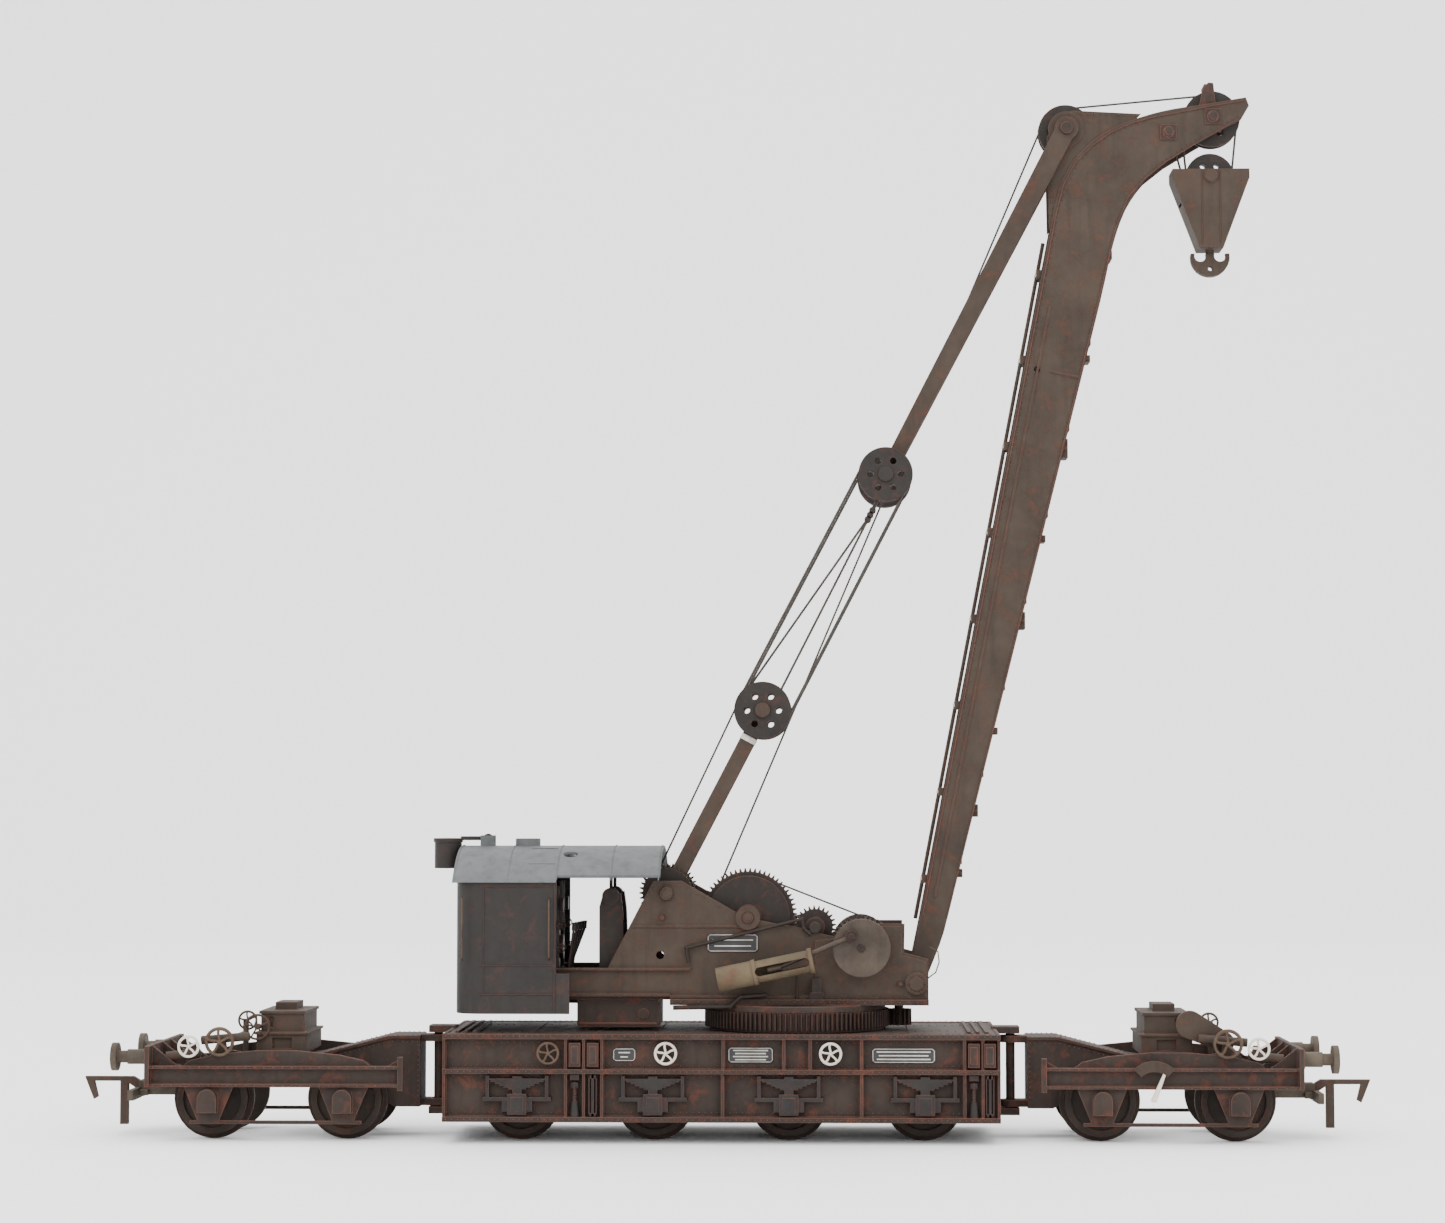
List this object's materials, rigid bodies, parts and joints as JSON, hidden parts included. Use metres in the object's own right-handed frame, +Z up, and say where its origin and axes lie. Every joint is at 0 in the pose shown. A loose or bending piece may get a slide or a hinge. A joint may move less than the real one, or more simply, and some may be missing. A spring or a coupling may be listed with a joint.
{
  "type": "steam breakdown crane model",
  "caption": "Scale model railway breakdown crane: wheeled carriage, slewing cab and engine, swan-neck jib with rope tackle and hook, relieving bogies at both ends.",
  "frame": {"origin": "middle of the carriage between its axles, on the plane under the wheel flanges", "axes": "+X along the track towards the jib, +Z up, +Y across the track to the left of +X"},
  "size_m": [0.2264, 0.034, 0.185],
  "materials": {
    "weathered_brown": "matte paint with rust and dirt",
    "carriage_red_brown": "matte paint over rust",
    "roof_grey": "matte grey paint",
    "cab_black": "matte soot black paint",
    "wheel_steel": "dull rusty steel",
    "gear_iron": "greasy cast iron",
    "cylinder_cream": "matte cream-grey paint",
    "handwheel_white": "white paint",
    "wire_rope": "twisted cord",
    "sheave_iron": "dull dark iron",
    "buffer_grey": "dull grey-beige iron"
  },
  "bodies": {
    "carriage": {"carriage_frame": "carriage_red_brown", "carriage_deck": "carriage_red_brown", "axlebox_springs": "gear_iron", "jacks_and_handwheels": "handwheel_white", "slewing_ring": "gear_iron"},
    "superstructure": {"base_plate": "carriage_red_brown", "side_cheeks": "weathered_brown", "ballast_box": "carriage_red_brown", "cylinders": "cylinder_cream", "crank_and_rods": "gear_iron", "cab_body": "cab_black", "cab_roof": "roof_grey", "steam_plant": "weathered_brown"},
    "chimney": {"chimney": "cab_black"},
    "slewing_pinion": {"slewing_pinion": "gear_iron"},
    "hoist_drum": {"hoist_drum": "gear_iron"},
    "idler_gear": {"idler_gear": "gear_iron"},
    "clutch_gear": {"clutch_gear": "gear_iron"},
    "derrick_drum": {"derrick_drum": "gear_iron"},
    "jib": {"jib_frame": "weathered_brown", "jib_lacing": "weathered_brown", "jib_head_rope": "wire_rope"},
    "guide_sheave": {"guide_sheave": "sheave_iron"},
    "head_sheave": {"head_sheave": "sheave_iron"},
    "link_bars": {"link_bars": "weathered_brown", "derrick_ropes": "wire_rope"},
    "lower_sheaves": {"lower_sheaves": "sheave_iron"},
    "upper_axle": {"upper_axle": "sheave_iron"},
    "upper_sheaves": {"upper_sheaves": "sheave_iron"},
    "tie_bars": {"tie_bars": "weathered_brown"},
    "hoist_lead": {"hoist_rope": "wire_rope"},
    "hoist_lead_top": {"hoist_rope_top": "wire_rope"},
    "hook_hang": {"hook_falls": "wire_rope"},
    "hook_block": {"hook_block": "weathered_brown"},
    "block_sheave": {"block_sheave": "sheave_iron"},
    "ramshorn_hook": {"ramshorn_hook": "weathered_brown"},
    "carriage_wheelset_1": {"carriage_wheelset_1": "wheel_steel"},
    "carriage_wheelset_2": {"carriage_wheelset_2": "wheel_steel"},
    "carriage_wheelset_3": {"carriage_wheelset_3": "wheel_steel"},
    "carriage_wheelset_4": {"carriage_wheelset_4": "wheel_steel"},
    "propping_girder_1": {"propping_girder_1": "carriage_red_brown"},
    "propping_girder_2": {"propping_girder_2": "carriage_red_brown"},
    "propping_girder_3": {"propping_girder_3": "carriage_red_brown"},
    "propping_girder_4": {"propping_girder_4": "carriage_red_brown"},
    "relieving_girder_left": {"relieving_girder_left": "carriage_red_brown"},
    "bogie_left": {"bogie_frame_left": "carriage_red_brown", "load_box_left": "weathered_brown", "bogie_handwheels_left": "handwheel_white", "draw_gear_left": "buffer_grey"},
    "coupling_hook_left": {"coupling_hook_left": "weathered_brown"},
    "bogie_wheelset_left_inner": {"bogie_wheelset_left_inner": "wheel_steel"},
    "bogie_wheelset_left_outer": {"bogie_wheelset_left_outer": "wheel_steel"},
    "relieving_girder_right": {"relieving_girder_right": "carriage_red_brown"},
    "bogie_right": {"bogie_frame_right": "carriage_red_brown", "load_box_right": "weathered_brown", "bogie_handwheels_right": "handwheel_white", "draw_gear_right": "buffer_grey"},
    "coupling_hook_right": {"coupling_hook_right": "weathered_brown"},
    "bogie_wheelset_right_inner": {"bogie_wheelset_right_inner": "wheel_steel"},
    "bogie_wheelset_right_outer": {"bogie_wheelset_right_outer": "wheel_steel"}
  },
  "joints": [
    {"name": "carriage_axle_1", "type": "hinge", "parent": "carriage", "child": "carriage_wheelset_1", "pos_m": [-0.03495, 0, 0.007], "axis": [0, 1, 0], "continuous": true},
    {"name": "carriage_axle_2", "type": "hinge", "parent": "carriage", "child": "carriage_wheelset_2", "pos_m": [-0.01165, 0, 0.007], "axis": [0, 1, 0], "continuous": true},
    {"name": "carriage_axle_3", "type": "hinge", "parent": "carriage", "child": "carriage_wheelset_3", "pos_m": [0.01165, 0, 0.007], "axis": [0, 1, 0], "continuous": true},
    {"name": "carriage_axle_4", "type": "hinge", "parent": "carriage", "child": "carriage_wheelset_4", "pos_m": [0.03495, 0, 0.007], "axis": [0, 1, 0], "continuous": true},
    {"name": "propping_girder_1_slide", "type": "slide", "parent": "carriage", "child": "propping_girder_1", "axis": [0, -1, 0], "range_m": [0, 0.018]},
    {"name": "propping_girder_2_slide", "type": "slide", "parent": "carriage", "child": "propping_girder_2", "axis": [0, 1, 0], "range_m": [0, 0.018]},
    {"name": "propping_girder_3_slide", "type": "slide", "parent": "carriage", "child": "propping_girder_3", "axis": [0, -1, 0], "range_m": [0, 0.018]},
    {"name": "propping_girder_4_slide", "type": "slide", "parent": "carriage", "child": "propping_girder_4", "axis": [0, 1, 0], "range_m": [0, 0.018]},
    {"name": "girder_left_swing", "type": "hinge", "parent": "carriage", "child": "relieving_girder_left", "pos_m": [-0.0504, 0, 0.011], "axis": [0, 0, 1], "range_deg": [-6, 6]},
    {"name": "bogie_left_pivot", "type": "hinge", "parent": "relieving_girder_left", "child": "bogie_left", "pos_m": [-0.077, 0, 0.012], "axis": [0, 0, 1], "range_deg": [-7, 7]},
    {"name": "bogie_axle_left_inner", "type": "hinge", "parent": "bogie_left", "child": "bogie_wheelset_left_inner", "pos_m": [-0.0653, 0, 0.007], "axis": [0, 1, 0], "continuous": true},
    {"name": "bogie_axle_left_outer", "type": "hinge", "parent": "bogie_left", "child": "bogie_wheelset_left_outer", "pos_m": [-0.0887, 0, 0.007], "axis": [0, 1, 0], "continuous": true},
    {"name": "coupling_hook_left_lift", "type": "hinge", "parent": "bogie_left", "child": "coupling_hook_left", "pos_m": [-0.0982, 0, 0.00815], "axis": [0, 1, 0], "range_deg": [0, 15]},
    {"name": "girder_right_swing", "type": "hinge", "parent": "carriage", "child": "relieving_girder_right", "pos_m": [0.0504, 0, 0.011], "axis": [0, 0, 1], "range_deg": [-6, 6]},
    {"name": "bogie_right_pivot", "type": "hinge", "parent": "relieving_girder_right", "child": "bogie_right", "pos_m": [0.077, 0, 0.012], "axis": [0, 0, 1], "range_deg": [-7, 7]},
    {"name": "bogie_axle_right_inner", "type": "hinge", "parent": "bogie_right", "child": "bogie_wheelset_right_inner", "pos_m": [0.0653, 0, 0.007], "axis": [0, 1, 0], "continuous": true},
    {"name": "bogie_axle_right_outer", "type": "hinge", "parent": "bogie_right", "child": "bogie_wheelset_right_outer", "pos_m": [0.0887, 0, 0.007], "axis": [0, 1, 0], "continuous": true},
    {"name": "coupling_hook_right_lift", "type": "hinge", "parent": "bogie_right", "child": "coupling_hook_right", "pos_m": [0.0982, 0, 0.00815], "axis": [0, -1, 0], "range_deg": [0, 15]},
    {"name": "slew", "type": "hinge", "parent": "carriage", "child": "superstructure", "pos_m": [0.0129, 0, 0.0234], "axis": [0, 0, 1], "continuous": true},
    {"name": "slewing_pinion_turn", "type": "hinge", "parent": "superstructure", "child": "slewing_pinion", "pos_m": [0.03086, 0, 0.021], "axis": [0, 0, 1], "continuous": true},
    {"name": "chimney_fold", "type": "hinge", "parent": "superstructure", "child": "chimney", "pos_m": [-0.0418, 0, 0.0521], "axis": [0, 1, 0], "range_deg": [0, 180]},
    {"name": "hoist", "type": "hinge", "parent": "superstructure", "child": "hoist_drum", "pos_m": [0.0045, 0, 0.0384], "axis": [0, 1, 0], "range_deg": [0, 3200]},
    {"name": "idler_turn", "type": "hinge", "parent": "superstructure", "child": "idler_gear", "pos_m": [0.01615, 0, 0.03672], "axis": [0, 1, 0], "range_deg": [-7696, 16]},
    {"name": "clutch_gear_turn", "type": "hinge", "parent": "superstructure", "child": "clutch_gear", "pos_m": [0.0242, 0, 0.03335], "axis": [0, 1, 0], "range_deg": [-11, 5064]},
    {"name": "guide_sheave_turn", "type": "hinge", "parent": "jib", "child": "guide_sheave", "pos_m": [0.061, 0, 0.1779], "axis": [0, 1, 0], "range_deg": [-11, 4883]},
    {"name": "head_sheave_turn", "type": "hinge", "parent": "jib", "child": "head_sheave", "pos_m": [0.087, 0, 0.18], "axis": [0, 1, 0], "range_deg": [-10, 4671]},
    {"name": "luff", "type": "hinge", "parent": "superstructure", "child": "jib", "pos_m": [0.0337, 0, 0.0271], "axis": [0, 1, 0], "range_deg": [0, 38]},
    {"name": "link_bars_swing", "type": "hinge", "parent": "superstructure", "child": "link_bars", "pos_m": [-0.0097, 0, 0.0426], "axis": [0, 1, 0], "range_deg": [-1, 25]},
    {"name": "upper_block_travel", "type": "slide", "parent": "link_bars", "child": "upper_axle", "axis": [0.4631, 0, 0.8863], "range_m": [-0.001, 0.03265], "deforming": ["derrick_ropes"]},
    {"name": "tie_bars_swing", "type": "hinge", "parent": "jib", "child": "tie_bars", "pos_m": [0.061, 0, 0.1779], "axis": [0, 1, 0], "range_deg": [-1, 13]},
    {"name": "derrick_drum_turn", "type": "hinge", "parent": "superstructure", "child": "derrick_drum", "pos_m": [-0.0097, 0, 0.0426], "axis": [0, 1, 0], "range_deg": [-2286, 6]},
    {"name": "lower_sheaves_turn", "type": "hinge", "parent": "link_bars", "child": "lower_sheaves", "pos_m": [0.00702, 0, 0.07459], "axis": [0, 1, 0], "range_deg": [-397, 2]},
    {"name": "upper_sheaves_turn", "type": "hinge", "parent": "upper_axle", "child": "upper_sheaves", "pos_m": [0.02869, 0, 0.11607], "axis": [0, 1, 0], "range_deg": [-793, 3]},
    {"name": "hoist_lead_swing", "type": "hinge", "parent": "superstructure", "child": "hoist_lead", "pos_m": [0.0045, 0, 0.0384], "axis": [0, 1, 0], "range_deg": [-1, 37]},
    {"name": "hoist_lead_reach", "type": "slide", "parent": "hoist_lead", "child": "hoist_lead_top", "axis": [0.3904, 0, 0.9207], "range_m": [-0.001, 0.02031], "deforming": ["hoist_rope_top"]},
    {"name": "hook_hang_swing", "type": "hinge", "parent": "jib", "child": "hook_hang", "pos_m": [0.087, 0, 0.18], "axis": [0, 1, 0], "range_deg": [-39, 1]},
    {"name": "hook_travel", "type": "slide", "parent": "hook_hang", "child": "hook_block", "axis": [0, 0, -1], "range_m": [-0.001, 0.12573], "deforming": ["hook_falls"]},
    {"name": "block_sheave_turn", "type": "hinge", "parent": "hook_block", "child": "block_sheave", "pos_m": [0.0866, 0, 0.1694], "axis": [0, 1, 0], "range_deg": [-8, 3581]},
    {"name": "hook_swivel", "type": "hinge", "parent": "hook_block", "child": "ramshorn_hook", "pos_m": [0.0866, 0, 0.156], "axis": [0, 0, 1], "continuous": true}
  ],
  "couplings": [
    {"joint": "slewing_pinion_turn", "follows": "slew", "ratio": 8},
    {"joint": "idler_turn", "follows": "hoist", "ratio": -2.4},
    {"joint": "clutch_gear_turn", "follows": "hoist", "ratio": 1.5789},
    {"joint": "guide_sheave_turn", "follows": "hoist", "ratio": 1.5227},
    {"joint": "head_sheave_turn", "follows": "hoist", "ratio": 1.4565},
    {"joint": "link_bars_swing", "follows": "luff", "ratio": 0.62825},
    {"joint": "upper_block_travel", "follows": "luff", "m_per_rad": 0.047718},
    {"joint": "tie_bars_swing", "follows": "luff", "ratio": 0.31966},
    {"joint": "derrick_drum_turn", "follows": "luff", "ratio": -60},
    {"joint": "lower_sheaves_turn", "follows": "luff", "ratio": -10.4},
    {"joint": "upper_sheaves_turn", "follows": "luff", "ratio": -20.8},
    {"joint": "hoist_lead_swing", "follows": "luff", "ratio": 0.93561},
    {"joint": "hoist_lead_reach", "follows": "luff", "m_per_rad": 0.029122},
    {"joint": "hook_hang_swing", "follows": "luff", "ratio": -1},
    {"joint": "hook_travel", "follows": "hoist", "m_per_rad": 0.002233},
    {"joint": "block_sheave_turn", "follows": "hoist", "ratio": 1.1167}
  ]
}
